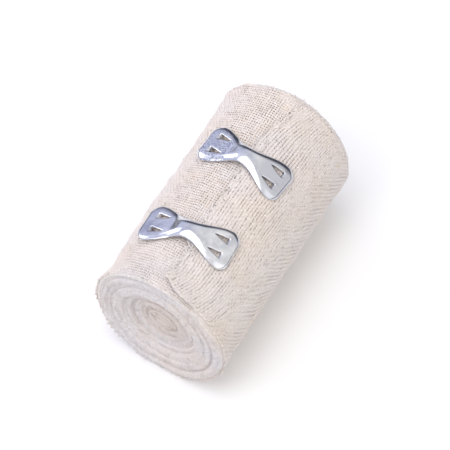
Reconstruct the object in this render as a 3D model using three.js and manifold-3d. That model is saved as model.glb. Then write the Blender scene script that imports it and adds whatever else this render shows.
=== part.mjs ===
// Crepe bandage roll: a wound strip of elastic cotton cloth whose loose end is held by two butterfly clips.
// Millimetres, +Z up. The roll's axis runs along Y with its near end at -Y, and it rests on the plane z = 0.
// Angles run round the axis from +Z towards +X. Turns are counted inwards from the cut edge of the cloth.
import * as THREE from 'three';
import { mergeVertices } from 'three/addons/utils/BufferGeometryUtils.js';
import Module from 'manifold-3d';

const wasm = await Module();
wasm.setup();

const degree = Math.PI / 180;
const fullTurn = 2 * Math.PI;

// Wound cloth
const clothWidth = 75;
const rollRadius = 22.3; // of the last turn, at the cut edge
const ovality = 0.014; // taller than wide by this share of the radius
const layerPitch = 1.2; // one layer of cloth in the outermost turn
const pieceGap = 0.3; // between neighbouring pieces
const edgeAngle = 5.5 * degree; // the cut edge lies almost on top
const restHeight = 21.0; // of the axis above the flat spot
const squashFade = 0.08; // how fast the flat spot dies out inside the roll
const tinyLength = 1e-4; // points closer than this are one

// The turns that the solid shows, coarser towards the core than the cloth's own
const stepsPerTurn = 60;
const turnsShown = 11;
const innerRadius = 1.3;
const crestInset = 0.5; // a cloth edge's crest lies this far inside its layer
const grooveDepth = 0.65; // between the edges of two turns
const parting = { turns: 1.74, spread: 0.17, depth: 1.0 }; // two outer layers stand apart on the left
const slips = [
  { rate: 4.1, phase: 0.4, size: 0.3 },
  { rate: 9.7, phase: 1.0, size: 0.18 },
  { rate: 1.3, phase: 2.2, size: 0.3 },
];

// The core is pressed flat into a slit
const slit = { angle: 106 * degree, stretch: 2.6, fade: 7, depth: 2.4 };

// Both ends lean a little, because the turns have slipped along the axis, and the core is pushed in
const ends = {
  near: { y: -clothWidth / 2, side: -1, leanUp: 0, leanRight: -1.45, shoulder: 1.2, push: 2.5 },
  far: { y: clothWidth / 2, side: 1, leanUp: 1.15, leanRight: -0.4, shoulder: 3.5, push: 1.0 },
};
const pushed = { within: 7, fadesOut: 15 }; // radii between which the push dies out

// Rows of the wound side, each set back from one end and drawn in by its inset
const sideRows = [
  { end: 'near', back: 0.4, inset: 0.15 },
  { end: 'near', back: 1.5, inset: 0 },
  { end: 'near', back: 6, inset: 0.3 },
  { end: 'near', back: 16, inset: 0.1 },
  { end: 'near', back: 30, inset: 0 },
  { end: 'far', back: 30, inset: 0.05 },
  { end: 'far', back: 15, inset: 0 },
  { end: 'far', back: 4, inset: 0 },
  { end: 'far', back: 0.9, inset: 0.15 },
];
const waves = [
  { lobes: 3, run: 0.11, height: 0.1 },
  { lobes: 5, run: -0.17, height: 0.07 },
];

// Loose end of the cloth, from its cut edge on top round the right side
const gapFadeIn = 0.06; // turns over which the layer below sinks to make room for it
const flap = {
  thickness: 1.2,
  endAngle: 118 * degree,
  arcSteps: 26,
  widthSteps: 18,
  nearSetback: 0.7,
  farReach: 1.2, // past the line where the far shoulder starts
};
const flapCorner = { setback: 1.3, lift: 1.5, arc: 9 * degree, run: 5 };
const cutEdge = [
  { y: -38, angle: 2.5 },
  { y: -33, angle: 5.5 },
  { y: -26, angle: 5.9 },
  { y: -14, angle: 5.0 },
  { y: -4, angle: 5.3 },
  { y: 8, angle: 6.4 },
  { y: 17, angle: 5.6 },
  { y: 25, angle: 8 },
  { y: 31, angle: 12 },
  { y: 37, angle: 17 },
];

// Clips: a stamped butterfly, its waist arched off the cloth and its long edges turned down
const clip = {
  length: 28,
  waistHalf: 2.9,
  wingHalf: 6.35,
  flare: 12, // from the waist to the full width of the wing
  corner: 2.7,
  thickness: 0.4,
  seat: 0.45, // of its underside above the cloth
  arch: 1.15,
  archReach: 9.5,
  waistCurl: 1.0,
  wingCurl: 0.12,
  curlPower: 3,
  stepUp: { from: -7.5, to: -0.5 }, // where it climbs from the lower layer to the loose end
  flatFrom: 4, // the left wing is flatter than the roll from here on
  lengthSteps: 32,
  widthSteps: 8,
};
const hole = { apex: 7.1, base: 11.2, across: 2.5, halfWidth: 1.0, cutFrom: -0.4, cutDepth: 3.4 };
const tooth = { halfWidth: 0.85, tip: 0.15, length: 2.8, thickness: 0.4, root: 0.2 };
const clips = {
  clip_far: { arc: 0.9, y: 11.3, tilt: -6.7 * degree, raised: 1.3 },
  clip_near: { arc: -1.0, y: -18.2, tilt: 2.7 * degree, raised: 1.3 },
};
const wings = [-1, 1];

// The turns grow thicker inwards, at the rate that leaves the core its radius
const flapTurns = (flap.endAngle - edgeAngle) / fullTurn;
const allTurns = flapTurns + turnsShown;
const pitchGrowth = (rollRadius - innerRadius - layerPitch * allTurns) / allTurns ** 2;

function smooth(value, from, to) {
  return THREE.MathUtils.smoothstep(value, from, to);
}

function bell(distance, spread) {
  return Math.exp(-((distance / spread) ** 2));
}

function turnRadius(turns) {
  return rollRadius - layerPitch * turns - pitchGrowth * turns ** 2;
}

function turnAngle(turns) {
  return edgeAngle + fullTurn * turns;
}

function turnsAt(angle) {
  return (angle - edgeAngle) / fullTurn;
}

// How far the edge of a turn has slipped along the axis
function turnSlip(turns) {
  return slips.reduce((sum, slip) => sum + slip.size * Math.sin(slip.rate * turns + slip.phase), 0);
}

function surfaceWave(angle, y) {
  return waves.reduce((sum, wave) => sum + wave.height * Math.sin(wave.lobes * angle + wave.run * y), 0);
}

// The solid's outer turn runs from the end of the flap round to the layer that the flap lies on
function depthInRoll(turns, radius) {
  const round = (turns - flapTurns) % 1;
  return turnRadius(flapTurns + round) - radius;
}

// A point of the wound form: oval, flat underneath and pressed to a slit at the core
function woundPoint(radius, angle, y, depth) {
  const oval = radius * (1 + ovality * Math.cos(2 * angle));
  const stretch = slit.stretch * Math.exp(-radius / slit.fade) * Math.cos(angle - slit.angle);
  const x = oval * Math.sin(angle) + stretch * Math.sin(slit.angle);
  const z = oval * Math.cos(angle) + stretch * Math.cos(slit.angle);
  const floor = -restHeight + (1 - squashFade) * Math.max(0, depth);
  return new THREE.Vector3(x, y, Math.max(z, floor));
}

function endY(end, radius, angle) {
  const lean = end.leanUp * Math.cos(angle) + end.leanRight * Math.sin(angle);
  const past = THREE.MathUtils.clamp(radius - (rollRadius - end.shoulder), 0, end.shoulder);
  const drop = end.shoulder - Math.sqrt(end.shoulder ** 2 - past ** 2);
  const push = end.push * (1 - smooth(radius, pushed.within, pushed.fadesOut));
  return end.y + lean * (radius / rollRadius) + push - end.side * drop;
}

// The layer under the flap lies lower, to leave the gap between the two pieces
function gapUnderFlap(turns) {
  const onOuterTurn = turns <= flapTurns + 1 + tinyLength;
  return onOuterTurn ? pieceGap * smooth(turns, 1 - gapFadeIn, 1) : 0;
}

function crestRadius(turns) {
  return turnRadius(turns) - gapUnderFlap(turns) - crestInset;
}

function crestY(end, turns) {
  return endY(end, crestRadius(turns), turnAngle(turns)) + turnSlip(turns);
}

function crestPoint(end, turns) {
  const radius = crestRadius(turns);
  return woundPoint(radius, turnAngle(turns), crestY(end, turns), depthInRoll(turns, radius));
}

function groovePoint(end, turns) {
  const radius = turnRadius(turns + 1) - gapUnderFlap(turns) / 2;
  const started = Math.min(1, (turns - flapTurns) * stepsPerTurn);
  const left = parting.depth * bell(turns - parting.turns, parting.spread);
  const y = crestY(end, turns) - end.side * (grooveDepth + left) * started;
  return woundPoint(radius, turnAngle(turns), y, depthInRoll(turns, radius));
}

function sidePoint(turns, radius, row) {
  const end = ends[row.end];
  const angle = turnAngle(turns);
  const y = crestY(end, turns) - end.side * row.back;
  return woundPoint(radius - row.inset + surfaceWave(angle, y), angle, y, 0);
}

// One mesh of points and faces, kept closed by sharing its points
class FacetedForm {
  constructor() {
    this.points = [];
    this.faces = [];
  }

  add(point) {
    this.points.push(point.x, point.y, point.z);
    return this.points.length / 3 - 1;
  }

  quad(a, b, c, d) {
    this.faces.push(a, b, c, a, c, d);
  }

  geometry() {
    const geometry = new THREE.BufferGeometry();
    geometry.setAttribute('position', new THREE.Float32BufferAttribute(this.points, 3));
    geometry.setIndex(this.faces);
    return geometry;
  }
}

// A ridged end face, spiralling in from the rim to the core. Returns its rim, point by point.
function addEndFace(form, end) {
  const lastStep = stepsPerTurn * turnsShown;
  const crests = [];
  const grooves = [];
  for (let step = 0; step <= lastStep; step += 1) {
    const turns = flapTurns + step / stepsPerTurn;
    crests.push(form.add(crestPoint(end, turns)));
    if (step <= lastStep - stepsPerTurn) {
      grooves.push(form.add(groovePoint(end, turns)));
    }
  }
  const quad = end.side > 0 ? (a, b, c, d) => form.quad(a, b, c, d) : (a, b, c, d) => form.quad(d, c, b, a);
  for (let step = 0; step < lastStep - stepsPerTurn; step += 1) {
    const inner = step + stepsPerTurn;
    quad(crests[step], crests[step + 1], grooves[step + 1], grooves[step]);
    quad(grooves[step], grooves[step + 1], crests[inner + 1], crests[inner]);
  }
  const coreY = end.y + end.push - end.side * slit.depth;
  const core = form.add(woundPoint(0, 0, coreY, rollRadius));
  const loop = [...crests.slice(lastStep - stepsPerTurn), grooves[lastStep - stepsPerTurn]];
  loop.forEach((point, index) => {
    const next = loop[(index + 1) % loop.length];
    form.faces.push(...(end.side > 0 ? [point, next, core] : [next, point, core]));
  });
  return [...crests.slice(0, stepsPerTurn + 1), grooves[0]];
}

function woundRoll() {
  const form = new FacetedForm();
  const nearRim = addEndFace(form, ends.near);
  const farRim = addEndFace(form, ends.far);
  const stepMiddle = (turnRadius(flapTurns) + turnRadius(flapTurns + 1) - pieceGap) / 2;
  const columns = nearRim.map((nearPoint, index) => {
    const isStep = index > stepsPerTurn;
    const turns = isStep ? flapTurns : flapTurns + index / stepsPerTurn;
    const radius = isStep ? stepMiddle : turnRadius(turns) - gapUnderFlap(turns);
    const rows = sideRows.map((row) => form.add(sidePoint(turns, radius, row)));
    return [nearPoint, ...rows, farRim[index]];
  });
  columns.forEach((column, index) => {
    const next = columns[(index + 1) % columns.length];
    for (let row = 0; row < column.length - 1; row += 1) {
      form.quad(column[row], next[row], next[row + 1], column[row + 1]);
    }
  });
  return form.geometry();
}

// A box of unit size whose points are moved by shape(along, across, through), each from 0 to 1
function shapedBox(alongSteps, acrossSteps, shape) {
  const geometry = new THREE.BoxGeometry(1, 1, 1, alongSteps, acrossSteps, 1);
  const position = geometry.attributes.position;
  for (let index = 0; index < position.count; index += 1) {
    const along = position.getX(index) + 0.5;
    const across = position.getY(index) + 0.5;
    const through = position.getZ(index) + 0.5;
    const point = shape(along, across, through);
    position.setXYZ(index, point.x, point.y, point.z);
  }
  return geometry;
}

function cutEdgeAngle(y) {
  const after = cutEdge.findIndex((mark) => mark.y > y);
  const next = cutEdge[after < 0 ? cutEdge.length - 1 : Math.max(1, after)];
  const last = cutEdge[cutEdge.indexOf(next) - 1];
  const share = THREE.MathUtils.clamp((y - last.y) / (next.y - last.y), 0, 1);
  return THREE.MathUtils.lerp(last.angle, next.angle, share) * degree;
}

function looseEnd() {
  const lastAngle = flap.endAngle - pieceGap / rollRadius;
  return shapedBox(flap.arcSteps, flap.widthSteps, (along, across, through) => {
    const aim = THREE.MathUtils.lerp(edgeAngle, lastAngle, along);
    const nearCorner = bell(aim - edgeAngle, flapCorner.arc);
    const near = endY(ends.near, rollRadius, aim) + flap.nearSetback + flapCorner.setback * nearCorner;
    const far = endY(ends.far, rollRadius, aim) + flap.farReach;
    const y = THREE.MathUtils.lerp(near, far, across);
    const angle = THREE.MathUtils.lerp(cutEdgeAngle(y), lastAngle, along);
    const lift = flapCorner.lift * nearCorner * bell(y - near, flapCorner.run);
    const radius = turnRadius(turnsAt(angle)) - flap.thickness * (1 - through) + lift + surfaceWave(angle, y);
    return woundPoint(radius, angle, y, 0);
  });
}

// A point of a clip, u along it and v across it, at a height above the cloth
function clipPoint(place, u, v, height) {
  const arc = place.arc + u * Math.cos(place.tilt) - v * Math.sin(place.tilt);
  const y = place.y + u * Math.sin(place.tilt) + v * Math.cos(place.tilt);
  const angle = arc / rollRadius;
  const stepUp = smooth(u, clip.stepUp.from, clip.stepUp.to);
  const radius = turnRadius(turnsAt(angle) + 1 - stepUp) + surfaceWave(angle, y) + height;
  return woundPoint(radius, angle, y, 0);
}

function clipHalfWidth(u) {
  const flare = (1 - Math.cos(Math.PI * Math.min(1, Math.abs(u) / clip.flare))) / 2;
  const straight = THREE.MathUtils.lerp(clip.waistHalf, clip.wingHalf, flare);
  const past = Math.max(0, Math.abs(u) - (clip.length / 2 - clip.corner));
  return straight - (clip.corner - Math.sqrt(Math.max(0, clip.corner ** 2 - past ** 2)));
}

// How far the left wing stands off the cloth
function wingRise(place, u) {
  return place.raised * (Math.max(0, -u - clip.flatFrom) / (clip.length / 2 - clip.flatFrom)) ** 2;
}

function clipHeight(u, share) {
  const near = Math.cos((Math.PI / 2) * Math.min(1, Math.abs(u) / clip.archReach)) ** 2;
  const curl = THREE.MathUtils.lerp(clip.wingCurl, clip.waistCurl, near);
  return clip.seat + clip.arch * near - curl * Math.abs(share) ** clip.curlPower;
}

function clipPlate(place) {
  return shapedBox(clip.lengthSteps, clip.widthSteps, (along, across, through) => {
    const u = (along - 0.5) * clip.length;
    const share = 2 * across - 1;
    const height = clipHeight(u, share) + wingRise(place, u) + clip.thickness * through;
    return clipPoint(place, u, share * clipHalfWidth(u), height);
  });
}

// Axes on the clip at a point of it: X along it, Y across it, Z off the cloth
function clipAxes(place, u, v) {
  const origin = clipPoint(place, u, v, 0);
  const along = clipPoint(place, u + 1, v, 0).sub(origin);
  const across = clipPoint(place, u, v + 1, 0).sub(origin).normalize();
  const off = new THREE.Vector3().crossVectors(along, across).normalize();
  along.crossVectors(across, off);
  return new THREE.Matrix4().makeBasis(along, across, off).setPosition(origin);
}

function holeCutter(place, wing, v) {
  const triangle = new THREE.Shape([
    new THREE.Vector2(0, -hole.halfWidth),
    new THREE.Vector2(0, hole.halfWidth),
    new THREE.Vector2(-wing * (hole.base - hole.apex), 0),
  ]);
  const cutter = new THREE.ExtrudeGeometry(triangle, { depth: hole.cutDepth, bevelEnabled: false });
  return cutter.translate(0, 0, hole.cutFrom).applyMatrix4(clipAxes(place, wing * hole.base, v));
}

// One tooth, or with some room the pocket that it sits in: a taper that hangs under the base of its hole
function toothForm(place, wing, v, room) {
  const seat = clip.seat + wingRise(place, wing * hole.base);
  const top = seat + tooth.root;
  const bottom = seat - tooth.length - room;
  const taper = new THREE.Shape([
    new THREE.Vector2(-tooth.halfWidth - room, top),
    new THREE.Vector2(-tooth.tip - room, bottom),
    new THREE.Vector2(tooth.tip + room, bottom),
    new THREE.Vector2(tooth.halfWidth + room, top),
  ]);
  const depth = tooth.thickness + 2 * room;
  const form = new THREE.ExtrudeGeometry(taper, { depth, bevelEnabled: false });
  form.rotateX(Math.PI / 2).rotateZ(Math.PI / 2);
  form.translate(wing > 0 ? -room : -tooth.thickness - room, 0, 0);
  return form.applyMatrix4(clipAxes(place, wing * hole.base, v));
}

function toothSpots() {
  return wings.flatMap((wing) => [-hole.across, hole.across].map((v) => ({ wing, v })));
}

function solidOf(geometry) {
  geometry.deleteAttribute('normal');
  geometry.deleteAttribute('uv');
  const merged = mergeVertices(geometry, tinyLength);
  return new wasm.Manifold(new wasm.Mesh({
    numProp: 3,
    vertProperties: new Float32Array(merged.attributes.position.array),
    triVerts: new Uint32Array(merged.index.array),
  }));
}

function geometryOf(solid) {
  const mesh = solid.getMesh();
  const geometry = new THREE.BufferGeometry();
  geometry.setAttribute('position', new THREE.BufferAttribute(mesh.vertProperties, 3));
  geometry.setIndex(new THREE.BufferAttribute(mesh.triVerts, 1));
  geometry.computeVertexNormals();
  return geometry;
}

function bandageClip(place) {
  const spots = toothSpots();
  let solid = solidOf(clipPlate(place));
  spots.forEach(({ wing, v }) => {
    solid = solid.subtract(solidOf(holeCutter(place, wing, v)));
  });
  spots.forEach(({ wing, v }) => {
    solid = solid.add(solidOf(toothForm(place, wing, v, 0)));
  });
  return solid;
}

// The cloth gives way round every tooth
function pierced(solid) {
  const places = Object.values(clips);
  const spots = toothSpots();
  const pockets = places.flatMap((place) => spots.map(({ wing, v }) => toothForm(place, wing, v, pieceGap)));
  return pockets.reduce((cloth, pocket) => cloth.subtract(solidOf(pocket)), solid);
}

function sheetMetal(color) {
  return new THREE.MeshStandardMaterial({ color, roughness: 0.22, metalness: 1 });
}

function cottonCloth(color) {
  return new THREE.MeshStandardMaterial({ color, roughness: 0.95, metalness: 0, side: THREE.DoubleSide });
}

function piece(name, solid, material) {
  const mesh = new THREE.Mesh(geometryOf(solid), material);
  mesh.name = name;
  return mesh;
}

const bandage = new THREE.Group();
bandage.name = 'crepe_bandage_roll';
bandage.add(piece('bandage_roll', pierced(solidOf(woundRoll())), cottonCloth(0xe6dcd2)));
bandage.add(piece('free_end', pierced(solidOf(looseEnd())), cottonCloth(0xe9ddd0)));
Object.entries(clips).forEach(([name, place]) => {
  bandage.add(piece(name, bandageClip(place), sheetMetal(0xc9cdd4)));
});

// The origin is under the middle of the whole thing
const box = new THREE.Box3().setFromObject(bandage);
const middle = box.getCenter(new THREE.Vector3());
bandage.position.set(-middle.x, -middle.y, restHeight);

export default bandage;
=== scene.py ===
import math
import bmesh
import bpy
import numpy as np
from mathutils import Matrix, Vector


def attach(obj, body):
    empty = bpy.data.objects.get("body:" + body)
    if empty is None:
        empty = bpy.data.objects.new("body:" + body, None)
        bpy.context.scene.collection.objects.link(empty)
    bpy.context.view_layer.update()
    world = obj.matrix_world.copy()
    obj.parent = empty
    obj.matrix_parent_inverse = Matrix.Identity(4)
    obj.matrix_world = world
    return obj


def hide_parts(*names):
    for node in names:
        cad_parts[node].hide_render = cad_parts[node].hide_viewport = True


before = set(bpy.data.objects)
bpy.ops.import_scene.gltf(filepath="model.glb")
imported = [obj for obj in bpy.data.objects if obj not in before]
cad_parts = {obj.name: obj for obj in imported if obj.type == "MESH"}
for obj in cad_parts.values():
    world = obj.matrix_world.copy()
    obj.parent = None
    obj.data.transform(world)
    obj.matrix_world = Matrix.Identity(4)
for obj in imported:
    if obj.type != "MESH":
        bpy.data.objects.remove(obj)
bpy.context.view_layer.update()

# Lengths here are millimetres round the roll's own axis, and become metres when a mesh is made.
# Turns are counted inwards from the cut edge, and angles run from +Z towards +X.
mm = 0.001
fullTurn = 2 * math.pi
rollAxis = np.array([-0.366, -0.029, 21.0])  # where the CAD roll's axis lies
cutEdgeDegrees = 5.5         # mean angle of the cut edge

roll = {
    "radius": 22.3,
    "ovality": 0.014,
    "pitch": 1.2,            # one layer in the outermost turn
    "pitchGrowth": 0.007,    # the turns are wound a little looser towards the core
    "edgeAngle": math.radians(cutEdgeDegrees),
    "rest": 21.0,            # axis above the flat spot
    "squash": 0.92,          # how the flat spot dies out inside
    "turns": 16.7,
    "waves": ((3, 0.11, 0.10), (5, -0.17, 0.07)),      # lobes, run along the axis, height
    "slips": ((4.1, 0.4, 0.30), (9.7, 1.0, 0.18), (1.3, 2.2, 0.30)),   # rate, phase, size
}
slit = {"angle": math.radians(106), "stretch": 2.6, "fade": 7.0}
ends = {
    "near": {"y": -37.5, "side": -1, "leanUp": 0.0, "leanRight": -1.45, "shoulder": 1.2, "push": 2.5},
    "far": {"y": 37.5, "side": 1, "leanUp": 1.15, "leanRight": -0.4, "shoulder": 3.5, "push": 1.0},
}
pushed = (7.0, 15.0)         # radii between which the core's push dies out
rim = {
    "lip": 0.55, "lipRun": 2.4, "lipMean": 0.65, "lipSwing": 0.35, "lipPhase": 1.2,     # stands out unevenly
    "hollow": 0.38, "hollowBack": 6.5, "hollowRun": 3.8,
}
flap = {
    "fadeFrom": 0.15, "fade": 0.5,            # turns over which the loose end settles into the roll
    "settles": 0.42,         # turns over which the slant of its cut edge dies out
    "pressed": 0.42, "pressedRun": 2.4,       # the cut edge lies close on the cloth under it
    "nearSetback": 0.7, "farSetback": 0.6,
    "cornerSetback": 2.2, "cornerLift": 1.45, "cornerArc": math.radians(11), "cornerRun": 5.0,
    "edgeY": (-38, -35, -31, -26, -14, -4, 8, 17, 25, 31, 37),          # along the cut edge
    "edgeDegrees": (-3.0, 0.5, 4.8, 5.9, 5.0, 5.3, 6.4, 5.6, 8.0, 12.0, 17.0),
}


def bell(distance, spread):
    return np.exp(-((distance / spread) ** 2))


def smooth(value, start, end):
    share = np.clip((value - start) / (end - start), 0, 1)
    return share * share * (3 - 2 * share)


def softNoise(rows, columns, cell, seed):
    # random values on a coarse net, eased between, so neighbours agree
    rng = np.random.default_rng(seed)
    high, wide = int(rows / cell[0]) + 3, int(columns / cell[1]) + 3
    net = rng.normal(size=(high, wide))
    along, across = np.arange(rows) / cell[0], np.arange(columns) / cell[1]
    i, j = along.astype(int), across.astype(int)
    a, b = smooth(along - i, 0, 1)[:, None], smooth(across - j, 0, 1)[None, :]
    top = net[i][:, j] * (1 - b) + net[i][:, j + 1] * b
    low = net[i + 1][:, j] * (1 - b) + net[i + 1][:, j + 1] * b
    return top * (1 - a) + low * a


# The wound form, the same as the CAD solid's

outerAround = fullTurn * (roll["radius"] - roll["pitch"] / 2)      # length of the outermost turn


def turnRadius(turns):
    return roll["radius"] - roll["pitch"] * turns - roll["pitchGrowth"] * turns ** 2


def turnAngle(turns):
    return roll["edgeAngle"] + fullTurn * turns


def turnSlip(turns):
    return sum(size * np.sin(rate * turns + phase) for rate, phase, size in roll["slips"])


def surfaceWave(angle, y):
    return sum(h * np.sin(lobes * angle + run * y) for lobes, run, h in roll["waves"])


def endY(end, radius, angle):
    lean = end["leanUp"] * np.cos(angle) + end["leanRight"] * np.sin(angle)
    past = np.clip(radius - (roll["radius"] - end["shoulder"]), 0, end["shoulder"])
    drop = end["shoulder"] - np.sqrt(end["shoulder"] ** 2 - past ** 2)
    push = end["push"] * (1 - smooth(radius, *pushed))
    return end["y"] + lean * radius / roll["radius"] + push - end["side"] * drop


def byCorner(turns):
    # 1 at the cut edge, fading away round the roll
    return bell(turnAngle(turns) - roll["edgeAngle"], flap["cornerArc"])


def clothEdge(name, turns):
    # where the cloth's selvedge lies at one end of the roll
    end = ends[name]
    radius = turnRadius(turns) - roll["pitch"] / 2
    loose = 1 - smooth(turns, flap["fadeFrom"], flap["fade"])
    corner = flap["cornerSetback"] * byCorner(turns) if name == "near" else 0
    back = loose * flap[name + "Setback"] + corner * (turns < flap["fade"])
    return endY(end, radius, turnAngle(turns)) + turnSlip(turns) * (1 - loose) - end["side"] * back


def woundPoint(turns, y, offset, shift=0.0):
    # offset is measured out from the middle of the layer, shift moves the point round the roll
    angle = turnAngle(turns) + shift
    reach = turnRadius(turns) - roll["pitch"] / 2 + offset + surfaceWave(angle, y)
    depth = np.maximum(0, turnRadius(np.mod(turns, 1)) - turnRadius(turns) + roll["pitch"] / 2 - offset)
    oval = reach * (1 + roll["ovality"] * np.cos(2 * angle))
    stretch = slit["stretch"] * np.exp(-reach / slit["fade"]) * np.cos(angle - slit["angle"])
    x = oval * np.sin(angle) + stretch * math.sin(slit["angle"])
    z = oval * np.cos(angle) + stretch * math.cos(slit["angle"])
    z = np.maximum(z, -roll["rest"] + roll["squash"] * depth)
    return np.stack([x, y + 0 * x, z], -1)


# Meshes from arrays of rings


def unit(vectors):
    return vectors / np.maximum(np.linalg.norm(vectors, axis=-1, keepdims=True), 1e-9)


def meshFromRings(name, rings):
    # rings is (tubes, steps, points round, 3): every tube is closed with a cap at both ends
    tubes, steps, sides, _ = rings.shape
    points = rings.reshape(-1, 3) + rollAxis
    points[:, 2] = np.maximum(points[:, 2], 0)      # nothing is pressed into the table
    points = points * mm
    number = np.arange(tubes * steps * sides).reshape(tubes, steps, sides)
    a, b = number[:, :-1], number[:, 1:]
    quads = np.stack([a, np.roll(a, -1, 2), np.roll(b, -1, 2), b], -1).reshape(-1, 4)
    caps = np.concatenate([number[:, 0, ::-1], number[:, -1]])
    corners = np.concatenate([quads.ravel(), caps.ravel()])
    sizes = np.concatenate([np.full(len(quads), 4), np.full(len(caps), sides)])
    mesh = bpy.data.meshes.new(name)
    mesh.vertices.add(len(points))
    mesh.vertices.foreach_set("co", points.ravel().astype(np.float32))
    mesh.loops.add(len(corners))
    mesh.loops.foreach_set("vertex_index", corners.astype(np.int32))
    mesh.polygons.add(len(sizes))
    mesh.polygons.foreach_set("loop_start", (np.cumsum(sizes) - sizes).astype(np.int32))
    mesh.polygons.foreach_set("use_smooth", np.ones(len(sizes), bool))
    # the UV map runs along the yarn in millimetres, and once round it
    strides = np.linalg.norm(np.diff(rings.mean(2), axis=1), axis=-1)
    run = np.concatenate([np.zeros((tubes, 1)), np.cumsum(strides, 1)], 1)
    u = np.repeat(run[:, :, None], sides, 2)
    v = np.arange(sides)[None, None, :] / sides + 0 * u
    uNow, uNext, vNow, vNext = u[:, :-1], u[:, 1:], v[:, :-1], v[:, :-1] + 1 / sides
    quadCorners = ((uNow, vNow), (uNow, vNext), (uNext, vNext), (uNext, vNow))
    quadUv = np.stack([np.stack(corner, -1) for corner in quadCorners], 3).reshape(-1, 2)
    capUv = np.zeros((caps.size, 2))
    layer = mesh.uv_layers.new(name="along")
    layer.data.foreach_set("uv", np.concatenate([quadUv, capUv]).ravel().astype(np.float32))
    mesh.update(calc_edges=True)
    mesh.validate()
    piece = bpy.data.objects.new(name, mesh)
    bpy.context.scene.collection.objects.link(piece)
    return piece


def yarnRings(path, out, wide, high, sides):
    # flattened tubes along paths (tubes, steps, 3), laid on the cloth whose outward normals are given
    forward = unit(np.gradient(path, axis=1))
    side = unit(np.cross(forward, out))
    out = np.cross(side, forward)
    turn = np.arange(sides) / sides * fullTurn + fullTurn / 4
    wide, high = (np.broadcast_to(x, path.shape[:2])[:, :, None, None] for x in (wide, high))
    cosine, sine = np.cos(turn)[None, None, :, None], np.sin(turn)[None, None, :, None]
    return path[:, :, None] + side[:, :, None] * wide * cosine + out[:, :, None] * high * sine


def gridNormals(points):
    # outward normals of a net of points whose first axis runs round the roll and second along it
    return unit(np.cross(np.gradient(points, axis=1), np.gradient(points, axis=0)))


# Materials


def newGroup(name, inputs, outputs):
    group = bpy.data.node_groups.new(name, "ShaderNodeTree")
    for label, kind, value in inputs:
        socket = group.interface.new_socket(name=label, in_out="INPUT", socket_type=kind)
        socket.default_value = value
    for label, kind in outputs:
        group.interface.new_socket(name=label, in_out="OUTPUT", socket_type=kind)
    return group, group.nodes.new("NodeGroupInput"), group.nodes.new("NodeGroupOutput")


def feed(tree, socket, value):
    # a socket is fed by another one, or else by a plain value
    if isinstance(value, bpy.types.NodeSocket):
        tree.links.new(value, socket)
    else:
        socket.default_value = value


def addNode(tree, kind, settings=None, **values):
    node = tree.nodes.new(kind)
    for key, value in (settings or {}).items():
        setattr(node, key, value)
    for key, value in values.items():
        feed(tree, node.inputs[key], value)
    return node


def addMath(tree, operation, first, second=0.0):
    node = addNode(tree, "ShaderNodeMath", {"operation": operation})
    feed(tree, node.inputs[0], first)
    feed(tree, node.inputs[1], second)
    return node.outputs[0]


def addRange(tree, value, fromMin, fromMax, toMin=0.0, toMax=1.0, kind="LINEAR"):
    node = addNode(tree, "ShaderNodeMapRange", {"interpolation_type": kind}, Value=value)
    for key, limit in (("From Min", fromMin), ("From Max", fromMax), ("To Min", toMin), ("To Max", toMax)):
        node.inputs[key].default_value = limit
    return node.outputs["Result"]


def addMix(tree, factor, a, b, blend="MIX"):
    node = addNode(tree, "ShaderNodeMix", {"data_type": "RGBA", "blend_type": blend}, Factor=factor, A=a, B=b)
    return node.outputs["Result"]


def addDistance(tree, place, middle):
    node = addNode(tree, "ShaderNodeVectorMath", {"operation": "DISTANCE"})
    feed(tree, node.inputs[0], place)
    feed(tree, node.inputs[1], middle)
    return node.outputs["Value"]


def objectPlace(tree):
    return tree.nodes.new("ShaderNodeTexCoord").outputs["Object"]


def newMaterial(name):
    material = bpy.data.materials.new(name)
    material.use_nodes = True
    return material, material.node_tree, material.node_tree.nodes["Principled BSDF"]


def makeTintGroup():
    # slow colour drift over the cloth: warm and cool areas and faint soiling
    group, given, out = newGroup("clothTint", [
        ("Warm", "NodeSocketColor", (0.78, 0.70, 0.62, 1)),
        ("Cool", "NodeSocketColor", (0.75, 0.73, 0.74, 1)),
        ("Scale", "NodeSocketFloat", 60.0), ("Amount", "NodeSocketFloat", 1.0)],
        [("Color", "NodeSocketColor")])
    place = objectPlace(group)
    broad = addNode(group, "ShaderNodeTexNoise", Vector=place, Scale=given.outputs["Scale"],
                    Detail=3.0, Roughness=0.5)
    fine = addNode(group, "ShaderNodeTexNoise", Vector=place, Scale=2600.0, Detail=2.0)
    drift = addRange(group, broad.outputs["Fac"], 0.35, 0.65)
    speck = addRange(group, fine.outputs["Fac"], 0.3, 0.7, 0.90, 1.04)
    color = addMix(group, drift, given.outputs["Cool"], given.outputs["Warm"])
    feed(group, out.inputs["Color"], addMix(group, given.outputs["Amount"], color, speck, "MULTIPLY"))
    return group


def makeTwistGroup():
    # the plies of a crepe-twisted yarn, winding round it along its own UV map, with painted shade in the
    # grooves between them
    group, given, out = newGroup("yarnTwist", [
        ("Plies", "NodeSocketFloat", 3.0), ("Twists", "NodeSocketFloat", 1.9),      # twists a millimetre
        ("Depth", "NodeSocketFloat", 0.5)],
        [("Height", "NodeSocketFloat"), ("PaintedShade", "NodeSocketFloat")])
    along = addNode(group, "ShaderNodeUVMap", {"uv_map": "along"})
    split = addNode(group, "ShaderNodeSeparateXYZ", Vector=along.outputs["UV"])
    lengthwise = addMath(group, "MULTIPLY", split.outputs["X"], given.outputs["Twists"])
    around = addMath(group, "MULTIPLY", split.outputs["Y"], given.outputs["Plies"])
    phase = addMath(group, "MULTIPLY", addMath(group, "ADD", lengthwise, around), fullTurn)
    wave = addMath(group, "SINE", phase)
    feed(group, out.inputs["Height"], addMath(group, "MULTIPLY", wave, given.outputs["Depth"]))
    # painted shade: the colour falls to 0.88 of itself in the grooves between the plies
    feed(group, out.inputs["PaintedShade"], addRange(group, wave, -1.0, 1.0, 0.88, 1.0))
    return group


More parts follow.
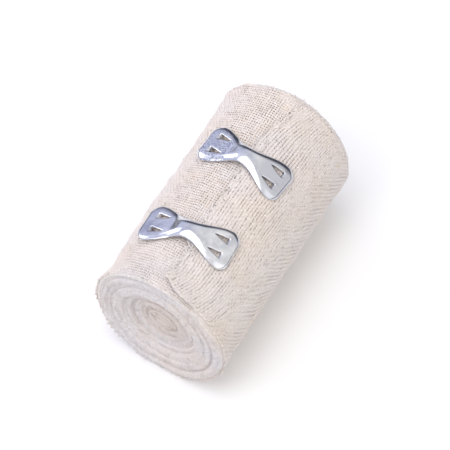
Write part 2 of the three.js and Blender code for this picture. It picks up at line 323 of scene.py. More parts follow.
def makeScratchGroup():
    # hairlines drawn out one way, and a mask of the more worn patches
    group, given, out = newGroup("fineScratches", [("Scale", "NodeSocketFloat", 400.0)],
                                 [("Height", "NodeSocketFloat"), ("Mask", "NodeSocketFloat")])
    place = objectPlace(group)
    drawn = addNode(group, "ShaderNodeMapping", Vector=place,
                    Scale=(1.0, 9.0, 1.0), Rotation=(0.0, 0.0, 0.35))
    hair = addNode(group, "ShaderNodeTexNoise", Vector=drawn.outputs["Vector"], Scale=given.outputs["Scale"],
                   Detail=4.0, Roughness=0.65)
    patches = addNode(group, "ShaderNodeTexNoise", Vector=place, Scale=180.0, Detail=3.0)
    feed(group, out.inputs["Height"], hair.outputs["Fac"])
    feed(group, out.inputs["Mask"], addRange(group, patches.outputs["Fac"], 0.4, 0.75))
    return group


tintGroup = makeTintGroup()
twistGroup = makeTwistGroup()
scratchGroup = makeScratchGroup()


def darkerToCore(tree, color, core):
    # the cloth is darker and browner towards the core of the roll
    axes = addNode(tree, "ShaderNodeSeparateXYZ", Vector=objectPlace(tree))
    across = addNode(tree, "ShaderNodeCombineXYZ", X=axes.outputs["X"], Z=axes.outputs["Z"])
    away = addDistance(tree, across.outputs["Vector"], (rollAxis[0] * mm, 0, rollAxis[2] * mm))
    inCore = addRange(tree, away, 0.011, 0.003, kind="SMOOTHSTEP")
    return addMix(tree, inCore, color, core)


def paintedShadeBehind(tree, color, paintedShadeColor):
    # painted shade: what lies behind the outer yarns is painted browner and darker, as the shade seen through
    # the pores of the weave, but not at the ends of the roll
    axes = addNode(tree, "ShaderNodeSeparateXYZ", Vector=objectPlace(tree))
    fromMiddle = addMath(tree, "ABSOLUTE", axes.outputs["Y"])
    offRims = addRange(tree, fromMiddle, 0.0355, 0.0335)
    return addMix(tree, offRims, color, paintedShadeColor)


def clothMaterial(name, warm, cool, twistDepth=0.5, change=None, changed=None):
    material, tree, shader = newMaterial(name)
    shader.inputs["Sheen Weight"].default_value = 0.25
    shader.inputs["Sheen Roughness"].default_value = 0.5
    shader.inputs["Specular IOR Level"].default_value = 0.2
    tint = addNode(tree, "ShaderNodeGroup", {"node_tree": tintGroup}, Warm=warm, Cool=cool)
    twist = addNode(tree, "ShaderNodeGroup", {"node_tree": twistGroup}, Depth=twistDepth)
    # painted shade: the colour is darkened in the grooves between the yarn's plies
    color = addMix(tree, 1.0, tint.outputs["Color"], twist.outputs["PaintedShade"], "MULTIPLY")
    if change:
        color = change(tree, color, changed)
    bump = addNode(tree, "ShaderNodeBump", Strength=0.6, Distance=0.00006, Height=twist.outputs["Height"])
    feed(tree, shader.inputs["Base Color"], color)
    feed(tree, shader.inputs["Roughness"], addRange(tree, twist.outputs["Height"], -1.0, 1.0, 0.95, 0.8))
    feed(tree, shader.inputs["Normal"], bump.outputs["Normal"])
    return material


# where the clips are worn: the scuffed left wing of the far one, and its duller right wing
scuffs = {
    "gritty": {"middle": (-0.0095, 0.0115, 0.0405), "radius": 0.0095, "most": 1.0},
    "dull": {"middle": (0.0105, 0.0098, 0.0400), "radius": 0.0100, "most": 0.55},
}
scuffEdge = 0.55             # a worn patch is a ball, full within this share of its radius


def clipMaterial(name, color, darker):
    material, tree, shader = newMaterial(name)
    shader.inputs["Metallic"].default_value = 1.0
    wear = addNode(tree, "ShaderNodeGroup", {"node_tree": scratchGroup})
    place = objectPlace(tree)
    patches = {}
    for kind, worn in scuffs.items():
        away = addDistance(tree, place, worn["middle"])
        full = worn["radius"] * scuffEdge
        patches[kind] = addRange(tree, away, worn["radius"], full, 0.0, worn["most"], "SMOOTHSTEP")
    grit = addNode(tree, "ShaderNodeTexNoise", Vector=place, Scale=1500.0, Detail=3.0, Roughness=0.7)
    pitted = addMath(tree, "MULTIPLY", patches["gritty"], addRange(tree, grit.outputs["Fac"], 0.42, 0.6))
    amount = addMath(tree, "MAXIMUM", wear.outputs["Mask"], pitted)
    amount = addMath(tree, "MAXIMUM", amount, patches["dull"])
    bump = addNode(tree, "ShaderNodeBump", Strength=0.25, Distance=0.00004, Height=wear.outputs["Height"])
    feed(tree, shader.inputs["Base Color"], addMix(tree, amount, color, darker))
    feed(tree, shader.inputs["Roughness"], addRange(tree, wear.outputs["Height"], 0.0, 1.0, 0.10, 0.28))
    feed(tree, shader.inputs["Normal"], bump.outputs["Normal"])
    return material


warpCotton = clothMaterial("warpCotton", (0.97, 0.87, 0.79, 1), (0.95, 0.885, 0.86, 1))
weftCotton = clothMaterial("weftCotton", (0.95, 0.83, 0.735, 1), (0.915, 0.845, 0.815, 1))
# painted shade: a darker copy of the weft colour, for the wefts that lie in the shade of the raised warps on
# the right of the roll
paintedShadeCotton = clothMaterial("paintedShadeCotton", (0.85, 0.75, 0.68, 1), (0.85, 0.78, 0.75, 1))
innerCotton = clothMaterial("innerCotton", (0.85, 0.77, 0.72, 1), (0.84, 0.80, 0.80, 1), 0.0,
                            darkerToCore, (0.70, 0.62, 0.57, 1))
ravelledCotton = clothMaterial("ravelledCotton", (0.97, 0.89, 0.82, 1), (0.96, 0.90, 0.87, 1))
# the body behind the outer yarns, with painted shade in its middle
backCottonPaintedShade = clothMaterial("backCottonPaintedShade", (0.90, 0.84, 0.79, 1), (0.90, 0.86, 0.84, 1), 0.0,
                           paintedShadeBehind, (0.70, 0.56, 0.43, 1))
brightTin = clipMaterial("brightTin", (0.88, 0.89, 0.92, 1), (0.50, 0.51, 0.60, 1))
print("materials ready")


# The outer turn, woven from real yarns

weave = {
    "warpCount": 90,           # yarns that run round the roll
    "overlap": 1.085,          # turns woven, so that the loose end has woven cloth under it
    "firstRow": 0.3,           # of the net, behind the cut edge
    "opens": (0.45, 0.8),      # turns between which the close weave changes to the open one
    # each pair is for the close weave of the loose end, and for the open one before the cut edge
    "weftPitch": (0.87, 0.80),
    "warpWide": (0.30, 0.285), "weftWide": (0.47, 0.27),     # half sizes
    "warpHigh": (0.17, 0.12), "weftHigh": (0.10, 0.12),
    "warpWave": (0.19, 0.11), "weftWave": (0.08, 0.12), "weftLow": (0.11, 0.0), "warpLift": (0.05, 0.0),
    "swell": (0.22, 0.0),      # a warp yarn is widest where it stands out
    "wiggle": (0.04, 0.01),
    "stagger": (0.14, 0.03),   # neighbouring wefts pinch and part by turns
    "unevenPhase": 0.6,        # how far a yarn is out of step with that
    "steadyBy": 20,            # yarns run steady at the selvedges, and stray fully 1/20 of the width in
    "sides": 5,
    "seed": 11,
}
# how far the yarns stray, and over how many points of the net each way
strays = {
    "wobble": (0.05, (6, 2)), "drift": (0.3, (44, 30)), "pucker": (0.16, (7, 8)),
    "slub": (0.18, (3, 1)), "knuckle": (0.3, (1, 1)),
}


def cutEdgeShift(y):
    # how far round the roll the cut edge has wandered from its mean angle
    return np.radians(np.interp(y, flap["edgeY"], flap["edgeDegrees"])) - roll["edgeAngle"]


def openness(turns):
    # the weave stands open on the left up to the cut edge, and close on the right of the roll
    return smooth(turns, *weave["opens"])


def woven(what, open_):
    close, opened = weave[what]
    return close + (opened - close) * open_


def stray(what, rows, columns, seed, turned=False):
    size, cell = strays[what]
    return size * softNoise(rows, columns, cell[::-1] if turned else cell, weave["seed"] + seed)


def outerShape(turns, y):
    # the loose end wanders at its cut edge, lifts at its near corner, and the near rim stands out a little
    shift = cutEdgeShift(y) * (1 - smooth(turns, 0, flap["settles"]))
    back = y - clothEdge("near", turns)
    corner = byCorner(turns) * bell(back, flap["cornerRun"])
    uneven = rim["lipMean"] + rim["lipSwing"] * np.cos(turnAngle(turns) + rim["lipPhase"])
    lip = rim["lip"] * bell(back, rim["lipRun"]) * uneven
    hollow = -rim["hollow"] * bell(back - rim["hollowBack"], rim["hollowRun"])
    along = np.maximum(0, turns) * fullTurn * roll["radius"]
    pressed = -flap["pressed"] * np.exp(-along / flap["pressedRun"])
    lifted = flap["cornerLift"] * corner + pressed * (1 - corner)
    return shift, lifted * (turns < flap["fade"]) + hollow, lip


def weaveNet():
    # a net of points at half the yarns' spacing: even rows are weft yarns, even columns warp yarns
    rowTurns = [weave["firstRow"] / outerAround]
    while rowTurns[-1] < weave["overlap"] or len(rowTurns) % 2 == 0:
        rowTurns.append(rowTurns[-1] + woven("weftPitch", openness(rowTurns[-1])) / 2 / outerAround)
    rows, columns = len(rowTurns), 2 * weave["warpCount"] - 1
    across = (np.arange(columns) / 2 + 0.5) / weave["warpCount"]
    turns, across = np.meshgrid(np.array(rowTurns), across, indexing="ij")
    strayY = stray("wobble", rows, columns, 0) + stray("drift", rows, columns, 2)
    strayTurns = stray("wobble", rows, columns, 1, True) + stray("drift", rows, columns, 3, True)
    near, far = clothEdge("near", turns), clothEdge("far", turns)
    inside = np.clip(np.minimum(across, 1 - across) * weave["steadyBy"], 0, 1)
    phase = np.random.default_rng(weave["seed"] + 8).normal(size=columns) * weave["unevenPhase"]
    zigzag = np.cos(math.pi * (np.arange(rows)[:, None] / 2 + np.arange(columns)[None, :] / 2) + phase)
    stagger = zigzag * woven("stagger", openness(turns))
    wiggle = zigzag * woven("wiggle", openness(turns))
    y = near + (far - near) * across + (strayY + wiggle) * inside
    turns = turns + (strayTurns + stagger) / outerAround
    shift, height, lip = outerShape(turns, y)
    height = height + lip + stray("pucker", rows, columns, 4)
    return {"turns": turns, "y": y, "shift": shift, "height": height, "rows": rows, "columns": columns}


def makeYarns(net):
    rows, columns = net["rows"], net["columns"]
    row, column = np.arange(rows)[:, None], np.arange(columns)[None, :]
    over = np.cos(math.pi * (row / 2 + column / 2))      # at a crossing, +1 where the warp is on top
    over = over * (1 + stray("knuckle", rows, columns, 7))
    base = woundPoint(net["turns"], net["y"], net["height"], net["shift"])
    normals = gridNormals(base)
    open_ = openness(net["turns"])
    warpRise = woven("warpWave", open_) * over + woven("warpLift", open_)
    weftDrop = woven("weftWave", open_) * over + woven("weftLow", open_)
    slubWarp = 1 + stray("slub", rows, columns, 5)
    slubWeft = 1 + stray("slub", rows, columns, 6, turned=True)
    swell = 1 + woven("swell", open_) * over
    warp = (base + normals * warpRise[..., None], normals,
            woven("warpWide", open_) * slubWarp * swell, woven("warpHigh", open_) * slubWarp)
    weft = (base - normals * weftDrop[..., None], normals,
            woven("weftWide", open_) * slubWeft, woven("weftHigh", open_) * slubWeft)
    return [x[:, ::2].swapaxes(0, 1) for x in warp], [x[::2] for x in weft]


net = weaveNet()
warps, wefts = makeYarns(net)
weftCount = len(wefts[0])
halfWarps, halfWefts = weave["warpCount"] // 2, weftCount // 2
pieces = {}
# the wefts round the right of the roll get the copy with painted shade
for name, yarns, start, end, cotton in (
        ("warp_yarns_near", warps, 0, halfWarps, warpCotton),
        ("warp_yarns_far", warps, halfWarps, None, warpCotton),
        ("weft_yarns_right", wefts, 0, halfWefts, paintedShadeCotton),
        ("weft_yarns_left", wefts, halfWefts, None, weftCotton)):
    pieces[name] = meshFromRings(name, yarnRings(*(x[start:end] for x in yarns), weave["sides"]))
    pieces[name].data.materials.append(cotton)
print("outer turn woven:", weave["warpCount"], "warp and", weftCount, "weft yarns")


# The body of the same turn, close behind its yarns

outerBody = {"top": -0.24, "bottom": -0.66, "columns": 44, "start": 0.7, "step": 0.8, "inset": 0.2}


def bodyRings():
    turns = np.arange(outerBody["start"], weave["overlap"] * outerAround, outerBody["step"]) / outerAround
    across = (1 - np.cos(np.linspace(0, math.pi, outerBody["columns"]))) / 2
    turns, across = np.meshgrid(turns, across, indexing="ij")
    near, far = clothEdge("near", turns) + outerBody["inset"], clothEdge("far", turns) - outerBody["inset"]
    y = near + (far - near) * across
    shift, height, lip = outerShape(turns, y)
    top = woundPoint(turns, y, height + lip + outerBody["top"], shift)
    bottom = woundPoint(turns, y, height + outerBody["bottom"], shift)
    return np.concatenate([top, bottom[:, ::-1]], 1)[None]


pieces["outer_turn_body"] = meshFromRings("outer_turn_body", bodyRings())
pieces["outer_turn_body"].data.materials.append(backCottonPaintedShade)


# The turns inside, one strip wound to the core

strip = {
    "fill": 0.70,              # half the layer's thickness, as a share of the pitch there
    "step": 0.27,              # along the cloth
    "underlap": 0.01,          # turns that run on under the woven turn's end
    "leastRadius": 1.5,        # for the length of a step in the core
    "loopPitch": 0.8, "scallop": 0.17,         # the weft's turns along the selvedge
    "loopUneven": (0.6, 0.8),
    "fuzz": 0.13, "rough": 0.06,
    # the layers stand apart here: turns, spread, share left open
    "gaps": ((1.74, 0.17, 0.35), (2.72, 0.12, 0.15), (11.35, 0.16, 0.25), (15.3, 0.2, 0.25)),
    # the selvedge's section: inset from it, height from the layer's middle, share of the loops it follows
    "section": ((0.28, 1.0, 0), (0.07, 0.84, 1), (0.0, 0.38, 1),
                (0.0, -0.38, 1), (0.07, -0.84, 1), (0.28, -1.0, 0)),
    "seed": 31,
}


def stripRings():
    turns = [weave["overlap"] - strip["underlap"]]
    while turns[-1] < roll["turns"]:
        radius = max(strip["leastRadius"], turnRadius(turns[-1]))
        turns.append(turns[-1] + strip["step"] / (fullTurn * radius))
    turns = np.array(turns)
    rng = np.random.default_rng(strip["seed"])
    count = len(turns)
    parted = sum(share * bell(turns - at, spread) for at, spread, share in strip["gaps"])
    thick = strip["fill"] * (roll["pitch"] + 2 * roll["pitchGrowth"] * turns) * (1 - parted)
    loops = np.abs(np.sin(np.arange(count) * strip["step"] / strip["loopPitch"] * math.pi))
    least, more = strip["loopUneven"]
    loops = strip["scallop"] * loops * (least + more * rng.random(count))
    rings = []
    for name, order in (("near", strip["section"]), ("far", strip["section"][::-1])):
        edge, side = clothEdge(name, turns), ends[name]["side"]
        for inset, height, looped in order:
            y = edge - side * (inset + parted - looped * loops) + rng.normal(size=count) * strip["fuzz"]
            rings.append(woundPoint(turns, y, thick * height + strip["rough"] * rng.normal(size=count)))
    return np.stack(rings, 1)[None]


rings = stripRings()
woundCloth = meshFromRings("wound_cloth", rings)
woundCloth.data.materials.append(innerCotton)


# Clips, stamped from thin sheet

clip = {
    "length": 28.0, "waistHalf": 2.9, "wingHalf": 6.35, "flare": 12.0, "corner": 2.7,
    "thickness": 0.36, "seat": 0.62, "arch": 1.1, "archReach": 9.5,
    "waistCurl": 1.15, "wingCurl": 0.6,            # how far the long edges turn down
    "waistBand": 2.4, "wingBand": 2.0,             # and how wide a band they turn
    "endCurl": 0.5, "endBand": 1.2,                # the same at the wing's end, as a share of its curl
    "stepUp": (-5.4, -0.3), "flatFrom": 4.0,
    "holeApex": 7.1, "holeBase": 11.2, "holeAcross": 2.5, "holeHalf": 1.0, "slitHalf": 0.10,
    # how the plate's rows spread between the holes, and away from them
    "waistOpen": 0.55, "endClose": 0.35, "endRun": 2.8, "waistAcross": (0.62, 0.38), "narrow": 4.6,
    "mostOpen": 0.45, "leastMargin": 0.86,
    "toothLength": 2.7, "toothLean": 0.12,
    "toothSteps": ((0.4, 0.86), (0.35, 0.6), (0.25, 0.12)),      # share of its length, narrowing
}
clipPlaces = {
    "clip_far": {"arc": 0.9, "y": 11.3, "tilt": math.radians(-6.7), "raised": 1.3, "leftCurl": 0.65},
    "clip_near": {"arc": -1.0, "y": -18.2, "tilt": math.radians(2.7), "raised": 1.3, "leftCurl": 0.3},
}
# columns of the plate from its middle to a wing's end
clipColumns = (
    0, 1.0, 2.0, 3.0, 4.0, 5.0, 6.1, 7.1, 8.1,
    9.2, 10.2, 11.2, 11.9, 12.6, 13.2, 13.65, 13.9, 14.0,
)
clipRows = 18
holeRows = (12, 14)          # the rows that bound a hole on the far side of the middle


def clipPoint(place, u, v, height):
    arc = place["arc"] + u * math.cos(place["tilt"]) - v * math.sin(place["tilt"])
    y = place["y"] + u * math.sin(place["tilt"]) + v * math.cos(place["tilt"])
    angle = arc / roll["radius"]
    climb = float(smooth(u, *clip["stepUp"]))
    turns = (angle - roll["edgeAngle"]) / fullTurn + 1 - climb
    reach = turnRadius(turns) + float(surfaceWave(angle, y)) + height
    oval = reach * (1 + roll["ovality"] * math.cos(2 * angle))
    return (np.array([oval * math.sin(angle), y, oval * math.cos(angle)]) + rollAxis) * mm


def clipHalfWidth(u):
    flare = (1 - math.cos(math.pi * min(1, abs(u) / clip["flare"]))) / 2
    straight = clip["waistHalf"] + (clip["wingHalf"] - clip["waistHalf"]) * flare
    past = max(0.0, abs(u) - (clip["length"] / 2 - clip["corner"]))
    return straight - (clip["corner"] - math.sqrt(max(0.0, clip["corner"] ** 2 - past ** 2)))


def clipHeight(place, u, share):
    near = math.cos(math.pi / 2 * min(1, abs(u) / clip["archReach"])) ** 2
    wingCurl = place["leftCurl"] if u < 0 else clip["wingCurl"]
    curl = wingCurl + (clip["waistCurl"] - wingCurl) * near
    band = clip["wingBand"] + (clip["waistBand"] - clip["wingBand"]) * near
    half = clipHalfWidth(u)
    sideways = curl * max(0.0, 1 - half * (1 - abs(share)) / band) ** 2
    fromEnd = clip["length"] / 2 - abs(u)
    lengthwise = clip["endCurl"] * wingCurl * max(0.0, 1 - fromEnd / clip["endBand"]) ** 2
    rise = place["raised"] * (max(0, -u - clip["flatFrom"]) / (clip["length"] / 2 - clip["flatFrom"])) ** 2
    return clip["seat"] + clip["arch"] * near + rise - max(sideways, lengthwise)


def rowAcross(u, row):
    # rows 0 to 18 across the plate: 4 and 6 bound the hole on one side, 12 and 14 on the other
    half = clipHalfWidth(u)
    span = abs(u)
    if span <= clip["holeApex"]:
        opened = clip["slitHalf"] + clip["waistOpen"] * (1 - span / clip["holeApex"])
    elif span <= clip["holeBase"]:
        share = (span - clip["holeApex"]) / (clip["holeBase"] - clip["holeApex"])
        opened = clip["slitHalf"] + (clip["holeHalf"] - clip["slitHalf"]) * share
    else:
        opened = clip["holeHalf"] - clip["endClose"] * (span - clip["holeBase"]) / clip["endRun"]
    waist, more = clip["waistAcross"]
    middle = clip["holeAcross"] * (waist + more * min(1, span / clip["holeApex"]))
    middle = middle * min(1, half / clip["narrow"])
    opened = min(opened, middle * clip["mostOpen"])
    inner, outer = middle - opened, min(middle + opened, half * clip["leastMargin"])
    known = ((0, -half), (4, -outer), (6, -inner), (9, 0.0), (12, inner), (14, outer), (18, half))
    return float(np.interp(row, [k[0] for k in known], [k[1] for k in known]))


def deselectAll():
    if bpy.context.mode != "OBJECT":
        bpy.ops.object.mode_set(mode="OBJECT")
    bpy.ops.object.select_all(action="DESELECT")


def stampClip(name, place):
    deselectAll()
    half = list(clipColumns)
    columns = [-c for c in half[:0:-1]] + half
    bpy.ops.mesh.primitive_grid_add(x_subdivisions=len(columns) - 1, y_subdivisions=clipRows, size=1)
    plate = bpy.context.object
    plate.name = name
    # the plain plate is drawn out to the butterfly outline, in millimetres
    for vertex in plate.data.vertices:
        column = round((vertex.co.x + 0.5) * (len(columns) - 1))
        row = round((vertex.co.y + 0.5) * clipRows)
        vertex.co = (columns[column], rowAcross(columns[column], row), 0)
    bpy.ops.object.mode_set(mode="EDIT")
    shape = bmesh.from_edit_mesh(plate.data)
    holes = []
    for face in shape.faces:
        centre = face.calc_center_median()
        opened = clip["holeApex"] < abs(centre.x) < clip["holeBase"]
        inner, outer = (rowAcross(centre.x, row) for row in holeRows)
        if opened and inner < abs(centre.y) < outer:
            holes.append(face)
    bmesh.ops.delete(shape, geom=holes, context="FACES")
    bases = []
    for edge in shape.edges:
        atBase = all(abs(abs(v.co.x) - clip["holeBase"]) < 0.01 for v in edge.verts)
        if atBase and edge.is_boundary:
            bases.append(tuple(edge.verts))
    # every tooth is drawn down from the base of its hole in three steps, narrowing to its point
    # (made face by face, because Blender's extrude orders its faces differently on each run)
    for part, narrow in clip["toothSteps"]:
        lower = {}
        for vertex in (v for pair in bases for v in pair):
            if vertex not in lower:
                x, y, z = vertex.co
                centre = math.copysign(clip["holeAcross"], y)
                lean = math.copysign(clip["toothLean"], x)
                down = part * clip["toothLength"]
                lower[vertex] = shape.verts.new((x - lean, centre + (y - centre) * narrow, z - down))
        for a, b in bases:
            shape.faces.new((a, b, lower[b], lower[a]))
        bases = [(lower[a], lower[b]) for a, b in bases]
    bmesh.update_edit_mesh(plate.data)
    bpy.ops.object.mode_set(mode="OBJECT")
    # laid on the roll
    for vertex in plate.data.vertices:
        u, v, down = vertex.co
        share = v / clipHalfWidth(u)
        vertex.co = clipPoint(place, u, v, clipHeight(place, u, share) + down)
    bpy.ops.object.mode_set(mode="EDIT")
    bpy.ops.mesh.select_all(action="SELECT")
    bpy.ops.mesh.normals_make_consistent(inside=False)
    bpy.ops.object.mode_set(mode="OBJECT")
    if sum(p.normal.z for p in plate.data.polygons) < 0:
        plate.data.flip_normals()
    thick = plate.modifiers.new("sheet", "SOLIDIFY")
    thick.thickness = clip["thickness"] * mm
    thick.offset = 1.0
    thick.use_even_offset = True
    rounding = plate.modifiers.new("rounding", "SUBSURF")
    rounding.levels = rounding.render_levels = 2
    for modifier in ("sheet", "rounding"):
        bpy.ops.object.modifier_apply(modifier=modifier)
    bpy.ops.object.shade_smooth()
    plate.data.materials.append(brightTin)
    return plate


for name, place in clipPlaces.items():
    made = stampClip(name + "_stamping", place)
    pieces[made.name] = made
    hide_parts(name)
print("clips stamped")


# The loose end's ravelled edge, the turns of the weft along the selvedge, and stray fibres

fringe = {
    "longest": 2.0, "shortest": 0.4, "steps": 8, "sides": 5,
    "half": 0.125, "taper": 0.5, "uneven": (0.8, 0.5),
    "plies": 3, "root": 0.3, "spread": 0.14,       # an end starts this far inside, and beside its yarn
    "unruly": 0.55, "rise": 0.35, "curl": 0.25, "droop": 0.4, "wave": 0.22, "waves": 5, "seed": 51,
}


def makeFringe():
    rng = np.random.default_rng(fringe["seed"])
    path, normals, _, _ = warps
    plies = fringe["plies"]
    root, outs = np.repeat(path[:, 0], plies, 0), np.repeat(normals[:, 0], plies, 0)
    back = np.repeat(unit(path[:, 0] - path[:, 2]), plies, 0)
    count = len(root)
    side = np.cross(back, outs)
    length = fringe["shortest"] + (fringe["longest"] - fringe["shortest"]) * rng.random(count) ** 2
    swing, curl, twirl = rng.normal(size=(3, count, 1, 1)) * fringe["unruly"]
    rise = fringe["rise"] * rng.random(count)[:, None, None]
    t = np.linspace(0, 1, fringe["steps"])[None, :, None]
    start = root - back * fringe["root"] + side * (rng.normal(size=count) * fringe["spread"])[:, None]
    reach = length[:, None, None]
    wave = fringe["wave"] * twirl * np.sin(fringe["waves"] * t)
    lift = rise * np.sin(t * math.pi) + fringe["curl"] * curl * t ** 3 - fringe["droop"] * t * reach
    line = start[:, None] + back[:, None] * t * (reach + fringe["root"])
    line = line + side[:, None] * (swing * t ** 2 * reach + wave)
    line = line + outs[:, None] * lift
    least, more = fringe["uneven"]
    thin = fringe["half"] * (1 - fringe["taper"] * t[:, :, 0]) * (least + more * rng.random(count))[:, None]
    tubes = yarnRings(line, outs[:, None] + 0 * line, thin, thin, fringe["sides"])
    return meshFromRings("cut_edge_fringe", tubes)


ravelled = {
    # loose weft threads along the cut edge: from y, to y, stand-off
    "runs": ((-34, -6, 0.25), (-15, 14, 0.55), (9, 34, 0.3), (-30, 30, -0.1), (-26, 24, 0.9)),
    "steps": 150, "sides": 6, "half": 0.18, "uneven": 0.25, "cell": 5, "least": 0.5,
    "sway": 0.6, "swayRate": 2.9, "loop": 0.42, "loopRate": 2.6, "phase": 2, "wander": 0.4,
    "rest": 0.55, "hump": 0.3, "onCloth": 0.55, "climb": (-0.2, 0.4), "noiseSeed": 90, "seed": 8,
}


def makeRavelled():
    around = fullTurn * roll["radius"]
    steps = ravelled["steps"]
    lines, outs = [], []
    for start, end, off in ravelled["runs"]:
        run = np.linspace(start, end, steps)
        noise = softNoise(3, steps, (1, ravelled["cell"]), int(start) + ravelled["noiseSeed"])
        curl = ravelled["least"] + np.abs(noise[2])
        along, beside = (ravelled["phase"] * n for n in noise[:2])
        y = run + ravelled["sway"] * curl * np.sin(run * ravelled["swayRate"] + along)
        away = off + ravelled["wander"] * noise[0]
        away = away + ravelled["loop"] * curl * np.cos(run * ravelled["loopRate"] + beside)
        lifted = ravelled["rest"] + ravelled["hump"] * np.abs(noise[1])
        lifted = lifted + ravelled["onCloth"] * smooth(-away, *ravelled["climb"])
        lines.append(woundPoint(1 - away / around, y, lifted, cutEdgeShift(y)))
        angle = turnAngle(-away / around)
        outs.append(np.stack([np.sin(angle), 0 * angle, np.cos(angle)], -1))
    uneven = ravelled["uneven"] * softNoise(len(lines), steps, (1, 3), ravelled["seed"])
    thin = ravelled["half"] * (1 + uneven)
    tubes = yarnRings(np.stack(lines), np.stack(outs), thin, thin, ravelled["sides"])
    return meshFromRings("ravelled_threads", tubes)


tufts = {
    "half": 0.085, "taper": 0.5, "steps": 9, "sides": 5,
    "length": (1.2, 2.3), "root": 0.4, "lean": (0.5, 1.0),
    "rise": 0.3, "arch": (0.0, 0.5), "archRate": 2.2, "sway": 0.5, "wave": 0.25, "waves": 4,
    "around": 140,             # millimetres round the roll there
    "spots": ((6, 9, 5), (12, 5, 6), (17, 4, 5), (24, 6, 3), (-70, 12, 4)),    # degrees, spread, threads
    "leastTurns": 0.005, "seed": 81,
}


def makeTufts():
    # frayed threads standing out of the far rim
    rng = np.random.default_rng(tufts["seed"])
    t = np.linspace(0, 1, tufts["steps"])
    lines, outs = [], []
    for middle, spread, count in tufts["spots"]:
        for _ in range(count):
            turns = math.radians(middle + spread * rng.uniform(-0.5, 0.5) - cutEdgeDegrees) / fullTurn
            turns = turns if turns > tufts["leastTurns"] else turns + 1
            length = rng.uniform(*tufts["length"])
            y = clothEdge("far", turns) - tufts["root"] + t * length * rng.uniform(*tufts["lean"])
            rise = tufts["rise"] + length * rng.uniform(*tufts["arch"]) * np.sin(t * tufts["archRate"])
            sway, wave = tufts["sway"] * rng.normal(), tufts["wave"] * rng.normal()
            sideways = sway * t + wave * np.sin(tufts["waves"] * t)
            lines.append(woundPoint(turns + sideways / tufts["around"], y, rise))
            angle = turnAngle(turns)
            outs.append(np.tile([math.sin(angle), 0.0, math.cos(angle)], (tufts["steps"], 1)))
    thin = tufts["half"] * (1 - tufts["taper"] * t)[None, :] * np.ones((len(lines), 1))
    tubes = yarnRings(np.stack(lines), np.stack(outs), thin, thin, tufts["sides"])
    return meshFromRings("far_rim_tufts", tubes)


loopTurns = {
    "steps": 7, "sides": 6, "wide": 0.24, "high": 0.18, "uneven": (0.8, 0.5),
    "reach": 0.5, "reachUneven": (0.35, 1.1, 1.5), "rise": 0.3, "seed": 91,
}


def makeSelvedge():
    # neighbouring weft yarns join in a small turn outside the last warp yarn, by turns at either end
    rng = np.random.default_rng(loopTurns["seed"])
    path, normals, _, _ = wefts
    t = np.linspace(0, math.pi, loopTurns["steps"])[None, :, None]
    least, more, power = loopTurns["reachUneven"]
    lines, outs = [], []
    for column, beside, first in ((0, 1, 0), (-1, -2, 1)):
        a, b = path[first:-1:2, column], path[first + 1::2, column]
        count = min(len(a), len(b))
        a, b = a[:count], b[:count]
        out = unit(normals[first:-1:2, column][:count])
        inward = unit(path[first:-1:2, beside][:count] - a)
        middle, arm = (a + b)[:, None] / 2, (a - b)[:, None] / 2
        reach = loopTurns["reach"] * (least + more * rng.random((count, 1, 1)) ** power)
        rise = out[:, None] * loopTurns["rise"] * rng.normal(size=(count, 1, 1))
        lines.append(middle + arm * np.cos(t) - (inward[:, None] * reach - rise) * np.sin(t))
        outs.append(np.repeat(out[:, None], loopTurns["steps"], 1))
    line, out = np.concatenate(lines), np.concatenate(outs)
    least, more = loopTurns["uneven"]
    thick = least + more * rng.random((len(line), 1))
    wide, high = loopTurns["wide"] * thick, loopTurns["high"] * thick
    tubes = yarnRings(line, out, wide, high, loopTurns["sides"])
    return meshFromRings("selvedge_turns", tubes)


fibres = {
    "count": 2400, "steps": 5, "sides": 3, "half": 0.032, "taper": 0.6, "shortest": 0.5, "longest": 2.2,
    "above": 0.35, "atRims": 0.35,             # height they start from, share that start at the two rims
    "lieFlat": 0.75, "bend": 0.35, "arch": 0.28, "archRate": 2.6,
    "askew": 0.01,             # off the normal, so that no fibre is parallel to it
    "seed": 71,
}


def makeFibres():
    rng = np.random.default_rng(fibres["seed"])
    count = fibres["count"]
    base = woundPoint(net["turns"], net["y"], net["height"] + fibres["above"], net["shift"])
    normals = gridNormals(base)
    row, column = rng.integers(0, net["rows"], count), rng.integers(0, net["columns"], count)
    atRim = rng.random(count) < fibres["atRims"]
    column = np.where(atRim, rng.choice([0, net["columns"] - 1], count), column)
    start, out = base[row, column], normals[row, column]
    lean = unit(rng.normal(size=(count, 3)))
    lean = unit(lean - out * (lean * out).sum(-1, keepdims=True) * fibres["lieFlat"])
    longer = fibres["longest"] - fibres["shortest"]
    length = (fibres["shortest"] + longer * rng.random(count) ** 3)[:, None, None]
    t = np.linspace(0, 1, fibres["steps"])[None, :, None]
    bend = unit(rng.normal(size=(count, 3)))[:, None] * fibres["bend"]
    arch = out[:, None] * np.sin(t * fibres["archRate"]) * fibres["arch"] * length
    line = start[:, None] + lean[:, None] * t * length + arch + bend * t ** 2 * length
    thin = fibres["half"] * (1 - fibres["taper"] * t[:, :, 0]) + 0 * line[..., 0]
    tubes = yarnRings(line, unit(out[:, None] + fibres["askew"] + 0 * line), thin, thin, fibres["sides"])
    return meshFromRings("stray_fibres", tubes)


for make in (makeFringe, makeRavelled, makeTufts, makeSelvedge, makeFibres):
    made = make()
    made.data.materials.append(ravelledCotton if make in (makeFringe, makeRavelled) else warpCotton)
    pieces[made.name] = made
print("edges and fibres added")

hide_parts("bandage_roll")
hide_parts("free_end")
pieces["wound_cloth"] = woundCloth
for name, piece in pieces.items():
    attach(piece, "root")
    print(name, len(piece.data.polygons), "faces")


# Floor, light and camera

